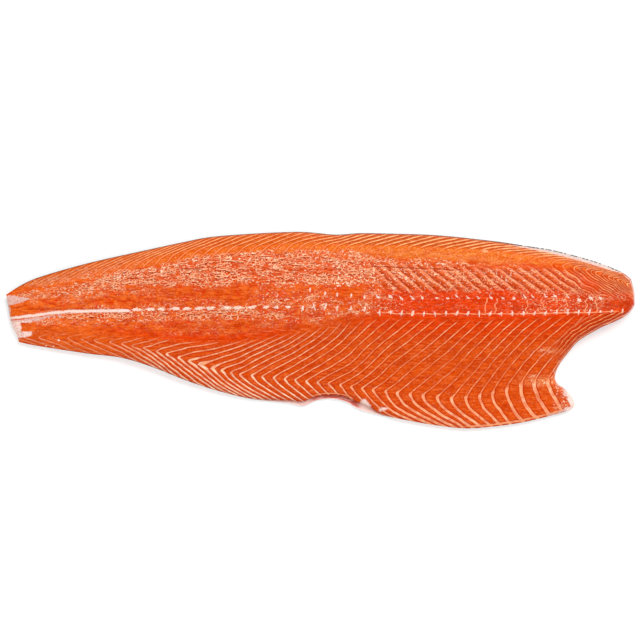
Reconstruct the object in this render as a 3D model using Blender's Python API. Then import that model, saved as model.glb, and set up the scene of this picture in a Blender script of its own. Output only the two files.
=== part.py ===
"""Raw salmon fillet, one whole trimmed side with its skin on, lying skin side down.

Run with: blender --background --python part.py

The fillet is one soft solid. Its tail points to -X and its head end to +X, its back (dorsal) edge
lies at +Y and its belly edge at -Y, and it rests on the flat underside at z = 0. The origin is the
middle of the box round it, on the underside.

The outline is four smooth edges: back, belly, tail and head. A grid is stretched between them, lifted
to the fillet's height at each place, and extruded down to the skin side.
"""

import math

import bmesh
import bpy
import numpy as np

MM = 0.001

# ---------------------------------------------------------------- outline, in mm from the middle
# Each edge is a smooth curve through a few points (x along the fish, y across it).
BACK_EDGE = [
    (-300, 34.5), (-287, 42.4), (-268, 50.8), (-222, 64), (-163, 77.2), (-130, 84.3), (-105, 89), (-67, 92),
    (-29, 93.8), (-10, 93.4), (14, 91.2), (38, 92.6), (66, 92.2), (105, 91), (143, 87.6), (181, 82.4),
    (219, 74.8), (250, 66.8), (276, 58.8), (288, 55.2), (296, 49.5),
]
BELLY_EDGE = [
    (-288, -11), (-268, -15), (-222, -22), (-190, -26), (-160, -35), (-130, -47), (-100, -57),
    (-68, -65), (-32, -69), (-17, -72), (-5, -67), (9, -65), (24, -68), (42, -77), (84, -86),
    (114, -91), (138, -93.4), (162, -92), (191, -88), (221, -81), (238, -76), (243, -71),
]
TAIL_EDGE = [(-300, 34.5), (-298.6, 24), (-296.8, 13), (-294.4, 4), (-290, -5), (-288, -11)]
HEAD_EDGE = [
    (296, 49.5), (299, 40), (299.9, 30), (299.4, 23.5), (293.3, 15.5), (281.5, 8.8), (267, 2.4), (247, -9.5),
    (237, -20.5), (228, -32.5), (224, -43), (226, -50), (234.5, -56.5), (240.5, -64), (243, -71),
]
# Where the backbone lay: the line that parts the loin above it from the belly below it.
SPINE_LINE = [
    (-300, 12), (-245, 18.5), (-150, 20.5), (-60, 22), (30, 20.5), (95, 15.5), (150, 14.5),
    (220, 17.5), (300, 23),
]

# ---------------------------------------------------------------- thickness, in mm
# Height of the loin's crest at places along the fish.
LOIN_HEIGHT = [(-300, 8), (-250, 13), (-180, 19), (-90, 25), (20, 29), (150, 31), (230, 29), (300, 22)]
CREST_AT = 0.35          # the crest's place, as a share of the way from the spine line to the back edge
SPINE_DROP = 0.10        # how far the spine line lies below the crest, as a share of the crest's height
BACK_DROP = 0.34         # the same for the back edge, before its rounding
TAIL_BELLY_DROP = 0.36   # the same for the lower edge of the tail part, which is solid muscle
BELLY_HEIGHT = 6.5       # the thin belly flap at its edge
BELLY_HOLLOW = 1.5       # how quickly the flap thins out away from the spine line
BELLY_FROM = -185        # the solid tail part starts to turn into the hollow belly flap here ...
BELLY_TO = -55           # ... and is wholly belly flap from here on

# ---------------------------------------------------------------- rim, in mm
EDGE_HEIGHT = 2.0        # the upright cut edge that is left all round
BACK_ROUNDING = 20.0     # how far in from the back edge the flesh rounds off
CUT_ROUNDING = 7.0       # the same at the belly, tail and head
BACK_LIFT = 5.0          # the skin side curls up off the table under the back edge by this much ...
BACK_LIFT_WIDTH = 20.0   # ... over this width
CUT_LIFT = 1.0           # the same along the other edges
CUT_LIFT_WIDTH = 5.0

# ---------------------------------------------------------------- mesh
CELLS_ALONG = 92
CELLS_ACROSS = 32
CROWDING = 0.55          # 0 spaces the cells evenly, 1 crowds them at the rim as a cosine does
SHARP_ANGLE = 40         # degrees; the arris of the cut edge stays sharp when shaded
SPAN_STEPS = 24          # a curve is worked out at this many steps between two of its points ...
CURVE_PLACES = 400       # ... and read at this many places when heights are worked out ...
EDGE_PLACES = 1200       # ... or at this many when the grid is stretched between the edges

FLESH_COLOUR = (0.80, 0.13, 0.025, 1.0)
FLESH_ROUGHNESS = 0.35


def smooth_curve(points, count):
    """count places on a Catmull-Rom curve through points, evenly spaced along it."""
    knots = np.array(points, float)
    ends = np.vstack([2 * knots[0] - knots[1], knots, 2 * knots[-1] - knots[-2]])
    share = np.linspace(0, 1, SPAN_STEPS, endpoint=False)[:, None]
    stretches = []
    for before, start, end, after in zip(ends, ends[1:], ends[2:], ends[3:]):
        stretches.append(0.5 * (
            2 * start
            + (end - before) * share
            + (2 * before - 5 * start + 4 * end - after) * share**2
            + (3 * start - before - 3 * end + after) * share**3
        ))
    dense = np.vstack([*stretches, knots[-1:]])
    steps = np.linalg.norm(np.diff(dense, axis=0), axis=1)
    along = np.concatenate([[0], np.cumsum(steps)])
    wanted = np.linspace(0, along[-1], count)
    return np.column_stack([np.interp(wanted, along, dense[:, i]) for i in range(2)])


def reader(points):
    """A function that gives y on the smooth curve through points, for any x."""
    curve = smooth_curve(points, CURVE_PLACES)
    return lambda x: np.interp(x, curve[:, 0], curve[:, 1])


def smoothstep(value, start, end):
    """0 before start, 1 past end, with an easy change between them."""
    share = np.clip((value - start) / (end - start), 0, 1)
    return share * share * (3 - 2 * share)


def crowded(share):
    """Moves evenly spaced shares, 0 to 1, towards both ends, where the rim curves most."""
    return (1 - CROWDING) * share + CROWDING * (1 - np.cos(math.pi * share)) / 2


def place_in_outline(along, across):
    """The (x, y) of each grid share: a Coons patch, which is stretched between the four edges."""
    edges = {
        "back": smooth_curve(BACK_EDGE, EDGE_PLACES),
        "belly": smooth_curve(BELLY_EDGE, EDGE_PLACES),
        "tail": smooth_curve(TAIL_EDGE, EDGE_PLACES),
        "head": smooth_curve(HEAD_EDGE, EDGE_PLACES),
    }
    steps = np.linspace(0, 1, EDGE_PLACES)

    def at(name, share):
        return np.column_stack([np.interp(share, steps, edges[name][:, i]) for i in range(2)])

    u = along[:, None]
    v = across[:, None]
    between_sides = (1 - v) * at("back", along) + v * at("belly", along)
    between_ends = (1 - u) * at("tail", across) + u * at("head", across)
    corners = (
        (1 - u) * (1 - v) * edges["back"][0] + u * (1 - v) * edges["back"][-1]
        + (1 - u) * v * edges["belly"][0] + u * v * edges["belly"][-1]
    )
    return between_sides + between_ends - corners


def distance_to(places, edges):
    """How far each place is from the nearest of these edges."""
    line = np.vstack([smooth_curve(points, CURVE_PLACES) for points in edges])
    return np.array([np.linalg.norm(line - place, axis=1).min() for place in places])


def body_height(x, y):
    """Height of the flesh at (x, y), before its rim is rounded off."""
    spine = reader(SPINE_LINE)(x)
    crest = reader(LOIN_HEIGHT)(x)
    up = np.clip((y - spine) / (reader(BACK_EDGE)(x) - spine), 0, 1)
    down = np.clip((spine - y) / (spine - reader(BELLY_EDGE)(x)), 0, 1)

    before_crest = 1 - SPINE_DROP * (np.clip(CREST_AT - up, 0, None) / CREST_AT) ** 2
    past_crest = 1 - BACK_DROP * (np.clip(up - CREST_AT, 0, None) / (1 - CREST_AT)) ** 2
    loin = crest * before_crest * past_crest

    at_spine = crest * (1 - SPINE_DROP)
    tail_part = at_spine * (1 - TAIL_BELLY_DROP * down**2)
    belly_flap = BELLY_HEIGHT + (at_spine - BELLY_HEIGHT) * (1 - down) ** BELLY_HOLLOW
    flap_share = smoothstep(x, BELLY_FROM, BELLY_TO)
    lower = tail_part * (1 - flap_share) + belly_flap * flap_share
    return np.where(y >= spine, loin, lower)


def quarter_round(distance, radius):
    """0 at the edge, rising as a quarter circle to 1 at radius."""
    left = 1 - np.clip(distance / radius, 0, 1)
    return np.sqrt(1 - left * left)


def underside_height(places):
    """Height of the skin side at each (x, y): flat on the table, curling up at the rim."""
    from_back = distance_to(places, [BACK_EDGE])
    from_cuts = distance_to(places, [BELLY_EDGE, TAIL_EDGE, HEAD_EDGE])
    back_lift = BACK_LIFT * np.clip(1 - from_back / BACK_LIFT_WIDTH, 0, 1) ** 2
    cut_lift = CUT_LIFT * np.clip(1 - from_cuts / CUT_LIFT_WIDTH, 0, 1) ** 2
    return np.maximum(back_lift, cut_lift)


def top_height(places):
    """Height of the flesh side at each (x, y), with its rim rounded off."""
    from_back = distance_to(places, [BACK_EDGE])
    from_cuts = distance_to(places, [BELLY_EDGE, TAIL_EDGE, HEAD_EDGE])
    rounding = quarter_round(from_back, BACK_ROUNDING) * quarter_round(from_cuts, CUT_ROUNDING)
    edge = underside_height(places) + EDGE_HEIGHT
    body = np.maximum(body_height(places[:, 0], places[:, 1]), edge)
    return edge + (body - edge) * rounding


def build_fillet_mesh():
    """A grid shaped to the flesh side, extruded down to the skin side."""
    bm = bmesh.new()
    bmesh.ops.create_grid(bm, x_segments=CELLS_ALONG, y_segments=CELLS_ACROSS, size=0.5)
    upper = list(bm.verts)
    shares = np.array([(vert.co.x + 0.5, 0.5 - vert.co.y) for vert in upper])
    places = place_in_outline(crowded(shares[:, 0]), crowded(shares[:, 1]))
    for vert, (x, y), z in zip(upper, places, top_height(places)):
        vert.co = (x, y, z)

    extruded = bmesh.ops.extrude_face_region(bm, geom=list(bm.faces))["geom"]
    lower = [item for item in extruded if isinstance(item, bmesh.types.BMVert)]
    below = np.array([(vert.co.x, vert.co.y) for vert in lower])
    for vert, z in zip(lower, underside_height(below)):
        vert.co.z = z

    middle = (places.max(axis=0) + places.min(axis=0)) / 2
    bmesh.ops.translate(bm, vec=(-middle[0], -middle[1], 0), verts=bm.verts)
    bmesh.ops.scale(bm, vec=(MM, MM, MM), verts=bm.verts)
    bmesh.ops.recalc_face_normals(bm, faces=list(bm.faces))
    mesh = bpy.data.meshes.new("salmon_fillet")
    bm.to_mesh(mesh)
    bm.free()
    mesh.shade_smooth()
    mesh.set_sharp_from_angle(angle=math.radians(SHARP_ANGLE))
    return mesh


def flesh_material():
    """Raw salmon flesh: orange, moist and a little glossy."""
    material = bpy.data.materials.new("raw_flesh")
    material.use_nodes = True
    shader = material.node_tree.nodes["Principled BSDF"]
    shader.inputs["Base Color"].default_value = FLESH_COLOUR
    shader.inputs["Roughness"].default_value = FLESH_ROUGHNESS
    shader.inputs["Metallic"].default_value = 0.0
    return material


def main():
    for obj in list(bpy.data.objects):
        bpy.data.objects.remove(obj)
    collection = bpy.data.collections.new("Raw salmon fillet")
    bpy.context.scene.collection.children.link(collection)
    fillet = bpy.data.objects.new("salmon_fillet", build_fillet_mesh())
    fillet.data.materials.append(flesh_material())
    collection.objects.link(fillet)


main()
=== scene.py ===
# %% [markdown]
# # Dressing a raw salmon fillet
# A whole trimmed side of salmon, lying skin side down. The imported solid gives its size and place.
# This script never moves that solid. It grows three finer pieces over it: the flesh, the skin under
# it, and the row of small pale bone marks that the backbone left behind.

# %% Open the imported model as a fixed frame
import math

import bmesh
import bpy
import numpy as np
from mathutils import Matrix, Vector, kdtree


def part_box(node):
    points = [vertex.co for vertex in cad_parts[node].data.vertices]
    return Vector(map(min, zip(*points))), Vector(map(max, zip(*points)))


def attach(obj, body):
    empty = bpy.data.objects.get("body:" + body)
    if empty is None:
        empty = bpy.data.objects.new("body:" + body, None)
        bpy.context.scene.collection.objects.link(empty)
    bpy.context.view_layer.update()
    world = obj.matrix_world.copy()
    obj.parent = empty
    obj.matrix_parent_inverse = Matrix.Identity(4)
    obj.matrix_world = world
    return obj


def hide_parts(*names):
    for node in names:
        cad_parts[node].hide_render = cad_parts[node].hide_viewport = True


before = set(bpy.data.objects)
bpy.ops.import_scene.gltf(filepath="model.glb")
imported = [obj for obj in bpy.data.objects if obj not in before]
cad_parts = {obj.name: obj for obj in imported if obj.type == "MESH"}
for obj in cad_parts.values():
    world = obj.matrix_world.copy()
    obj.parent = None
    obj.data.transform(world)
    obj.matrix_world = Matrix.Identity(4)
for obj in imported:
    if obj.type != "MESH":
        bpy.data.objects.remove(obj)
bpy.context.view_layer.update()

MM = 0.001
low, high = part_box("salmon_fillet")
box_size = [(b - a) / MM for a, b in zip(low, high)]
print("the solid measures", [round(side, 1) for side in box_size], "mm")

# %% [markdown]
# ## The camera
# A fillet is laid out flat and looked at from straight above, so the camera hangs over its middle and
# looks down. A long lens from far away keeps the sides upright. Its height follows from the width
# that should fill the picture, so the framing stays right if the fillet's size changes.

# %% Hang the camera over the middle
LENS = 200.0             # mm
SENSOR = 36.0            # mm
PICTURE_WIDTH = 1.0150   # of the fillet's length
LOOK_AT_X = -0.001       # how far the picture's middle lies from the fillet's, as a share of its length
LOOK_AT_Y = 0.0166       # the same towards the back


def make_camera():
    length = high.x - low.x
    camera = bpy.data.objects.new("camera", bpy.data.cameras.new("camera"))
    camera.data.lens = LENS
    camera.data.sensor_width = SENSOR
    camera.data.clip_end = 20
    middle = (low + high) / 2
    height = PICTURE_WIDTH * length / SENSOR * LENS
    camera.location = (middle.x + LOOK_AT_X * length, middle.y + LOOK_AT_Y * length, middle.z + height)
    bpy.context.scene.collection.objects.link(camera)
    bpy.context.scene.camera = camera
    return camera


camera = make_camera()
print("the camera hangs", round(camera.location.z, 3), "m up")

# %% [markdown]
# ## A small kit for shader nodes
# A material is a graph of nodes. Written out in full, each node takes four lines, and the idea
# drowns. These helpers make one node and join its inputs in a single call, so the materials below
# read like formulas. A value that comes from another node is linked, and a plain number is typed
# in.

# %% Helpers that add nodes


def add_node(tree, kind, inputs=None, **settings):
    """A new node with its settings made and its inputs linked or typed in."""
    node = tree.nodes.new(kind)
    for key, value in settings.items():
        setattr(node, key, value)
    for key, value in (inputs or {}).items():
        if isinstance(value, bpy.types.NodeSocket):
            tree.links.new(value, node.inputs[key])
        else:
            node.inputs[key].default_value = value
    return node


def calc(tree, operation, first, second=0.0, third=0.0):
    """One sum, product, power and so on."""
    inputs = {0: first, 1: second}
    if operation == "MULTIPLY_ADD":
        inputs[2] = third
    return add_node(tree, "ShaderNodeMath", inputs, operation=operation).outputs[0]


def product(tree, first, *others):
    """Several shares multiplied together."""
    for other in others:
        first = calc(tree, "MULTIPLY", first, other)
    return first


def vector(tree, operation, first, second, third=(0.0, 0.0, 0.0)):
    """One sum or product of places, axis by axis."""
    inputs = {0: first, 1: second}
    if operation == "MULTIPLY_ADD":
        inputs[2] = third
    return add_node(tree, "ShaderNodeVectorMath", inputs, operation=operation).outputs[0]


def ramp(tree, value, start, end, low_value=0.0, high_value=1.0):
    """low_value up to start, high_value past end, with an easy change between them."""
    inputs = {
        "Value": value, "From Min": start, "From Max": end, "To Min": low_value, "To Max": high_value,
    }
    node = add_node(tree, "ShaderNodeMapRange", inputs, interpolation_type="SMOOTHSTEP")
    return node.outputs["Result"]


def blend(tree, share, under, over):
    """The colour over laid on the colour under, by a share from 0 to 1."""
    return add_node(tree, "ShaderNodeMix", {0: share, 6: under, 7: over}, data_type="RGBA").outputs[2]


def paint(tree, under, over, *shares):
    """The colour over laid on the colour under, by the product of these masks and numbers."""
    return blend(tree, product(tree, *shares), under, over)


def stored(tree, name):
    """A number that the mesh carries at each of its points."""
    return add_node(tree, "ShaderNodeAttribute", attribute_name=name).outputs["Fac"]


def millimetres(tree, stretch=(1.0, 1.0, 1.0)):
    """The place on the piece in mm, with each axis divided by stretch."""
    place = add_node(tree, "ShaderNodeTexCoord").outputs["Object"]
    return vector(tree, "MULTIPLY", place, [1 / (MM * part) for part in stretch])


def noise(tree, place, grain, detail=2.0, twist=0.0):
    """Soft random cloud from 0 to 1, with lumps of about grain mm."""
    inputs = {"Vector": place, "Scale": 1 / grain, "Detail": detail, "Distortion": twist}
    return add_node(tree, "ShaderNodeTexNoise", inputs).outputs["Fac"]


def new_material(name):
    material = bpy.data.materials.new(name)
    material.use_nodes = True
    return material, material.node_tree, material.node_tree.nodes["Principled BSDF"]


def finish(tree, shader, colour, height, strength, depth, settings):
    """Gives the shader its colour, a bump of some strength and depth in mm, and its other settings."""
    relief = {"Strength": strength, "Distance": depth * MM, "Height": height}
    bump = add_node(tree, "ShaderNodeBump", relief)
    for name, value in {"Base Color": colour, "Normal": bump.outputs[0], **settings}.items():
        if isinstance(value, bpy.types.NodeSocket):
            tree.links.new(value, shader.inputs[name])
        else:
            shader.inputs[name].default_value = value


def new_group(name, inputs, outputs):
    """An empty node group with named number sockets, and its two end nodes."""
    group = bpy.data.node_groups.new(name, "ShaderNodeTree")
    for title, default in inputs.items():
        kind = "NodeSocketVector" if isinstance(default, tuple) else "NodeSocketFloat"
        socket = group.interface.new_socket(title, in_out="INPUT", socket_type=kind)
        socket.default_value = default
    for title in outputs:
        group.interface.new_socket(title, in_out="OUTPUT", socket_type="NodeSocketFloat")
    return group, group.nodes.new("NodeGroupInput").outputs, group.nodes.new("NodeGroupOutput").inputs


def use_group(tree, group, **inputs):
    """A group placed in a tree, with its inputs linked or typed in. Returns its outputs by name."""
    return add_node(tree, "ShaderNodeGroup", inputs, node_tree=group).outputs


print("node helpers ready")

# %% [markdown]
# ## Floor and light
# Wet flesh shows two things at once: its own deep colour, and the lamps mirrored in its moisture.
# Light from straight above would lay a milky film over everything. So the big soft lamps stand off
# to the sides, the main one behind the back edge, which leaves a faint shadow in front of the belly.

# %% A pale floor, a soft sky and two large lamps
FLOOR_SIZE = 8.0         # m
FLOOR_GAP = 0.0004       # m between the floor and the fillet, so that their faces don't coincide
FLOOR_COLOUR = (0.93, 0.93, 0.93, 1.0)
FLOOR_GLOW = 0.19        # the paper lies on a light table, so that shadows on it stay faint
SKY_STRENGTH = 0.62
# Each lamp: its place round the middle in m, its two sides in m, and its power in W.
LAMPS = {
    "main_lamp": ((0.80, 1.5, 1.7), (1.8, 1.1), 39.0),
    "fill_lamp": ((-0.5, -1.7, 1.5), (2.0, 1.2), 13.0),
}


def make_floor():
    bpy.ops.mesh.primitive_plane_add(size=FLOOR_SIZE, location=(0, 0, low.z - FLOOR_GAP))
    floor = bpy.context.object
    floor.name = "floor"
    material, tree, shader = new_material("matt_white_paper")
    shader.inputs["Base Color"].default_value = FLOOR_COLOUR
    shader.inputs["Roughness"].default_value = 0.9
    shader.inputs["Specular IOR Level"].default_value = 0.1
    shader.inputs["Emission Color"].default_value = (1, 1, 1, 1)
    shader.inputs["Emission Strength"].default_value = FLOOR_GLOW
    floor.data.materials.append(material)


def make_lights():
    world = bpy.data.worlds.new("sky")
    world.use_nodes = True
    world.node_tree.nodes["Background"].inputs["Color"].default_value = (1, 1, 1, 1)
    world.node_tree.nodes["Background"].inputs["Strength"].default_value = SKY_STRENGTH
    world.cycles_visibility.glossy = False
    bpy.context.scene.world = world
    for name, (place, sides, power) in LAMPS.items():
        light = bpy.data.lights.new(name, "AREA")
        light.shape = "RECTANGLE"
        light.size, light.size_y = sides
        light.energy = power
        lamp = bpy.data.objects.new(name, light)
        lamp.location = place
        lamp.rotation_euler = (-lamp.location).to_track_quat("-Z", "Y").to_euler()
        bpy.context.scene.collection.objects.link(lamp)


make_floor()
make_lights()
bpy.context.scene.view_settings.view_transform = "Standard"
print("floor and", len(LAMPS), "lamps")

# %% [markdown]
# ## The outline
# Seen from above, a fillet is a long leaf with four edges: the back, the belly, the cut at the tail
# and the collar cut at the head. Each edge is a smooth curve through a few points. They are the
# points of the solid, in mm. The flesh stops short of the skin where the belly was trimmed.

# %% The four edges, in mm
BACK_EDGE = [
    (-300, 34.5), (-287, 42.4), (-268, 50.8), (-222, 64), (-163, 77.2), (-130, 84.3), (-105, 89),
    (-67, 92), (-29, 93.8), (-10, 93.4), (14, 91.2), (38, 92.6), (66, 92.2), (105, 91), (143, 87.6),
    (181, 82.4), (219, 74.8), (250, 66.8), (276, 58.8), (288, 55.2), (296, 49.5),
]
BELLY_EDGE = [
    (-288, -11), (-268, -15), (-222, -22), (-190, -26), (-160, -35), (-130, -47), (-100, -57),
    (-68, -65), (-32, -69), (-17, -72), (-5, -67), (9, -65), (24, -68), (42, -77), (84, -86),
    (114, -91), (138, -93.4), (162, -92), (191, -88), (221, -81), (238, -76), (243, -71),
]
TAIL_EDGE = [(-300, 34.5), (-298.6, 24), (-296.8, 13), (-294.4, 4), (-290, -5), (-288, -11)]
HEAD_EDGE = [
    (296, 49.5), (299, 40), (299.9, 30), (299.4, 23.5), (293.3, 15.5), (281.5, 8.8), (267, 2.4),
    (247, -9.5), (237, -20.5), (228, -32.5), (224, -43), (226, -50), (234.5, -56.5), (240.5, -64),
    (243, -71),
]
# How far the flesh's belly edge lies inside the skin's, at places along the fish.
BELLY_TRIM = [
    (-100, 0.3), (-60, 1.2), (-32, 2.4), (-17, 4.8), (-5, 4.2), (9, 4), (24, 5), (42, 7), (54, 2.5),
    (70, 0.3),
]
# How far the skin's back edge lies outside the flesh's.
SKIN_OVERHANG = [
    (-297, 0), (-286, 0.45), (150, 0.45), (195, 1.1), (219, 2.6), (262, 2.8), (276, 2.2), (286, 0.4),
    (296, 0),
]
SPAN_STEPS = 24          # a curve is worked out at this many steps between two of its points ...
EDGE_PLACES = 6000       # ... and then read at this many places


def smooth_curve(points, count):
    """count places on a Catmull-Rom curve through points, evenly spaced along it."""
    knots = np.array(points, float)
    ends = np.vstack([2 * knots[0] - knots[1], knots, 2 * knots[-1] - knots[-2]])
    share = np.linspace(0, 1, SPAN_STEPS, endpoint=False)[:, None]
    stretches = []
    for before, start, end, after in zip(ends, ends[1:], ends[2:], ends[3:]):
        stretches.append(0.5 * (
            2 * start
            + (end - before) * share
            + (2 * before - 5 * start + 4 * end - after) * share**2
            + (3 * start - before - 3 * end + after) * share**3
        ))
    dense = np.vstack([*stretches, knots[-1:]])
    steps = np.linalg.norm(np.diff(dense, axis=0), axis=1)
    along = np.concatenate([[0], np.cumsum(steps)])
    wanted = np.linspace(0, along[-1], count)
    return np.column_stack([np.interp(wanted, along, dense[:, i]) for i in range(2)])


def reader(points):
    """A function that gives y on the smooth curve through points, for any x."""
    curve = smooth_curve(points, EDGE_PLACES)
    return lambda x: np.interp(x, curve[:, 0], curve[:, 1])


def at_place(points, x):
    """The value at x on straight lines through (x, value) points, level past both ends."""
    return np.interp(x, *np.array(points, float).T)


def table(points):
    """A function that gives y on the straight lines through points, and goes on past both ends."""
    xs, ys = np.array(points, float).T
    before = (ys[1] - ys[0]) / (xs[1] - xs[0])
    after = (ys[-1] - ys[-2]) / (xs[-1] - xs[-2])

    def read(x):
        inside = np.interp(x, xs, ys)
        return inside + np.minimum(x - xs[0], 0) * before + np.maximum(x - xs[-1], 0) * after

    return read


back_edge = reader(BACK_EDGE)
belly_edge = reader(BELLY_EDGE)


def edges_of(trim=0.0, overhang=0.0):
    """The four edges as dense lines, the belly's drawn in by trim and the back's out by overhang."""
    named = {"back": BACK_EDGE, "belly": BELLY_EDGE, "tail": TAIL_EDGE, "head": HEAD_EDGE}
    edges = {name: smooth_curve(points, EDGE_PLACES) for name, points in named.items()}
    edges["belly"][:, 1] += trim * at_place(BELLY_TRIM, edges["belly"][:, 0])
    edges["back"][:, 1] += overhang * at_place(SKIN_OVERHANG, edges["back"][:, 0])
    for side, end in (("back", 0), ("belly", -1)):
        edges["tail"][end] = edges[side][0]
        edges["head"][end] = edges[side][-1]
    return edges


skin_edges = edges_of(overhang=1.0)
flesh_edges = edges_of(trim=1.0)
cad_edges = edges_of()
outline = np.vstack(list(cad_edges.values()))
drawn_low, drawn_high = outline.min(axis=0), outline.max(axis=0)
print("drawn", np.round(drawn_high - drawn_low, 1), "mm, solid", np.round(box_size[:2], 1), "mm")

# %% [markdown]
# ## The thickness
# The loin, above the backbone's line, is a thick round muscle. Below it the fillet thins out into the
# belly flap. The heights are again those of the solid: a crest along the loin, a share of it at the
# backbone's line and at each edge, and quarter-round rims. A nearest-point tree finds the
# distance to the rim quickly, for tens of thousands of places.

# %% Heights of both sides, in mm
SPINE_LINE = [
    (-300, 12), (-245, 18.5), (-150, 20.5), (-60, 22), (30, 20.5), (95, 15.5), (150, 14.5),
    (220, 17.5), (300, 23),
]
LOIN_HEIGHT = [(-300, 8), (-250, 13), (-180, 19), (-90, 25), (20, 29), (150, 31), (230, 29), (300, 22)]
CREST_AT = 0.35          # the crest's place, as a share of the way from the spine line to the back edge
SPINE_DROP = 0.10        # how far the spine line lies below the crest, as a share of the crest's height
BACK_DROP = 0.34         # the same for the back edge, before its rounding
TAIL_BELLY_DROP = 0.36   # the same for the lower edge of the tail part
BELLY_HEIGHT = 6.5       # the belly flap at its edge
BELLY_HOLLOW = 1.5       # how quickly the flap thins out
BELLY_FROM = -185        # the tail part starts to turn into belly flap here ...
BELLY_TO = -55           # ... and is wholly belly flap from here on
EDGE_HEIGHT = 2.0        # the upright cut edge all round
BACK_ROUNDING = 20.0     # how far in from the back edge the flesh rounds off
CUT_ROUNDING = 7.0       # the same at the belly, tail and head
BACK_LIFT = 5.0          # the skin side curls up under the back edge by this much ...
BACK_LIFT_WIDTH = 20.0   # ... over this width
CUT_LIFT = 1.0           # the same along the other edges
CUT_LIFT_WIDTH = 5.0
SKIN_THICKNESS = 0.9

spine_line = reader(SPINE_LINE)
loin_height = reader(LOIN_HEIGHT)


def smoothstep(value, start, end):
    """0 before start and 1 past end, with an easy change between. It falls where end is below start."""
    share = np.clip((value - start) / (end - start), 0, 1)
    return share * share * (3 - 2 * share)


def near(value, middle, width):
    """1 at middle, falling off as a bell of this width."""
    return np.exp(-(((value - middle) / width) ** 2))


def distance_to(x, y, lines):
    """How far each place is from the nearest of these lines."""
    points = np.vstack(lines)
    tree = kdtree.KDTree(len(points))
    for index, (px, py) in enumerate(points):
        tree.insert((px, py, 0), index)
    tree.balance()
    return np.array([tree.find((px, py, 0))[2] for px, py in zip(x, y)])


def body_height(x, y):
    """Height of the flesh at (x, y), before its rim is rounded off."""
    spine = spine_line(x)
    crest = loin_height(x)
    up = np.clip((y - spine) / (back_edge(x) - spine), 0, 1)
    down = np.clip((spine - y) / (spine - belly_edge(x)), 0, 1)
    before_crest = 1 - SPINE_DROP * (np.clip(CREST_AT - up, 0, None) / CREST_AT) ** 2
    past_crest = 1 - BACK_DROP * (np.clip(up - CREST_AT, 0, None) / (1 - CREST_AT)) ** 2
    at_spine = crest * (1 - SPINE_DROP)
    tail_part = at_spine * (1 - TAIL_BELLY_DROP * down**2)
    belly_flap = BELLY_HEIGHT + (at_spine - BELLY_HEIGHT) * (1 - down) ** BELLY_HOLLOW
    flap_share = smoothstep(x, BELLY_FROM, BELLY_TO)
    lower = tail_part * (1 - flap_share) + belly_flap * flap_share
    return np.where(y >= spine, crest * before_crest * past_crest, lower)


def quarter_round(distance, radius):
    """0 at the edge, rising as a quarter circle to 1 at radius."""
    left = 1 - np.clip(distance / radius, 0, 1)
    return np.sqrt(1 - left * left)


def underside_height(x, y, edges):
    """Height of the skin side: flat on the table, curling up at the rim."""
    from_back = distance_to(x, y, [edges["back"]])
    from_cuts = distance_to(x, y, [edges["belly"], edges["tail"], edges["head"]])
    back_lift = BACK_LIFT * np.clip(1 - from_back / BACK_LIFT_WIDTH, 0, 1) ** 2
    cut_lift = CUT_LIFT * np.clip(1 - from_cuts / CUT_LIFT_WIDTH, 0, 1) ** 2
    return np.maximum(back_lift, cut_lift)


def top_height(x, y, under, edges):
    """Height of the flesh side, its rim rounded off, and how far each place is from the rim."""
    from_back = distance_to(x, y, [edges["back"]])
    from_cuts = distance_to(x, y, [edges["belly"], edges["tail"], edges["head"]])
    rounding = quarter_round(from_back, BACK_ROUNDING) * quarter_round(from_cuts, CUT_ROUNDING)
    edge = under + EDGE_HEIGHT
    body = np.maximum(body_height(x, y), edge)
    return edge + (body - edge) * rounding, np.minimum(from_back, from_cuts)


print("crest of the loin:", round(float(loin_height(150.0)), 1), "mm")

# %% [markdown]
# ## A slab between two sheets
# Flesh and skin are both slabs: an upper sheet, a lower sheet, and a wall all round. A grid is
# stretched between the four edges (a Coons patch), once for each sheet. The rows crowd together at
# the rim, where the surface turns down. The lower sheet of the flesh is never seen, so it keeps
# only a few rows, and many-sided faces join it to the fine rim.

# %% Stretch grids and close them into slabs


def grid_shares(cells, rim_cells, rim_share):
    """Shares from 0 to 1: evenly spaced, but as a quarter circle's steps within rim_share of both ends."""
    turn = np.linspace(0, math.pi / 2, rim_cells, endpoint=False)
    rim = rim_share * (1 - np.cos(turn))
    inner = np.linspace(rim_share, 1 - rim_share, cells - 2 * rim_cells + 1)
    return np.concatenate([rim, inner, 1 - rim[::-1]])


def stretch_grid(edges, along, across):
    """x and y of the grid lines between the four edges, as two tables."""
    steps = np.linspace(0, 1, EDGE_PLACES)

    def at(name, share):
        return np.column_stack([np.interp(share, steps, edges[name][:, i]) for i in range(2)])

    u = along[:, None, None]
    v = across[None, :, None]
    between_sides = (1 - v) * at("back", along)[:, None] + v * at("belly", along)[:, None]
    between_ends = (1 - u) * at("tail", across)[None] + u * at("head", across)[None]
    corners = (
        (1 - u) * (1 - v) * edges["back"][0] + u * (1 - v) * edges["back"][-1]
        + (1 - u) * v * edges["belly"][0] + u * v * edges["belly"][-1]
    )
    places = between_sides + between_ends - corners
    return places[..., 0], places[..., 1]


def to_world(x, y, z):
    """Drawn mm to the frame's metres: the drawn outline is laid on the solid's box."""
    share_x = (x - drawn_low[0]) / (drawn_high[0] - drawn_low[0])
    share_y = (y - drawn_low[1]) / (drawn_high[1] - drawn_low[1])
    wx = low.x + share_x * (high.x - low.x)
    wy = low.y + share_y * (high.y - low.y)
    return np.stack([wx, wy, low.z + z * MM], axis=-1)


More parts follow.
